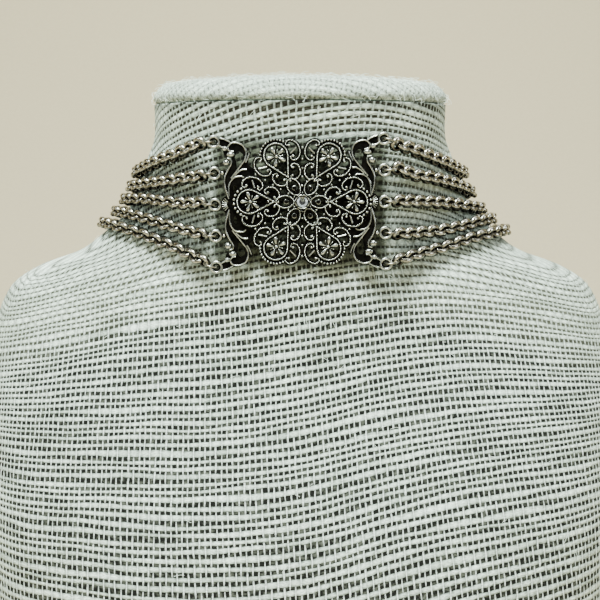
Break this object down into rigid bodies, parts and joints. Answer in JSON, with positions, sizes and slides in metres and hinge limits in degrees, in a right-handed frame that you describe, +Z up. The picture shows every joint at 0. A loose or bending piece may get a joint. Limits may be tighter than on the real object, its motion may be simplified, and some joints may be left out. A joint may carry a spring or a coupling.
{
  "type": "multi-strand choker on a neck bust",
  "caption": "Choker with a pierced cast silver filigree plaque between strands of round chain, shown on a linen-covered neck bust.",
  "frame": {"origin": "on the table under the middle of the bounding box of the neck bust with the choker on it", "axes": "+Z up along the neck, -Y towards the chest and the plaque, +X to the right as seen from the front"},
  "size_m": [0.209, 0.1758, 0.2156],
  "materials": {
    "linen": "coarse plain weave, light grey-green linen",
    "oxidised_silver": "cast silver tone, blackened in its recesses",
    "silver": "worn antique silver tone",
    "crystal": "clear, faceted"
  },
  "bodies": {
    "root": {"bust": "linen", "neck_cap": "linen", "scroll_frame_left": "oxidised_silver", "scroll_frame_right": "oxidised_silver", "rosette": "oxidised_silver", "stone_setting": "silver", "stone": "crystal", "jump_ring_left_1": "silver", "jump_ring_left_2": "silver", "jump_ring_left_3": "silver", "jump_ring_left_4": "silver", "jump_ring_left_5": "silver", "jump_ring_right_1": "silver", "jump_ring_right_2": "silver", "jump_ring_right_3": "silver", "jump_ring_right_4": "silver", "jump_ring_right_5": "silver", "strand_left_1": "silver", "strand_left_2": "silver", "strand_left_3": "silver", "strand_left_4": "silver", "strand_left_5": "silver", "strand_right_1": "silver", "strand_right_2": "silver", "strand_right_3": "silver", "strand_right_4": "silver", "strand_right_5": "silver", "clasp": "silver"}
  },
  "joints": []
}
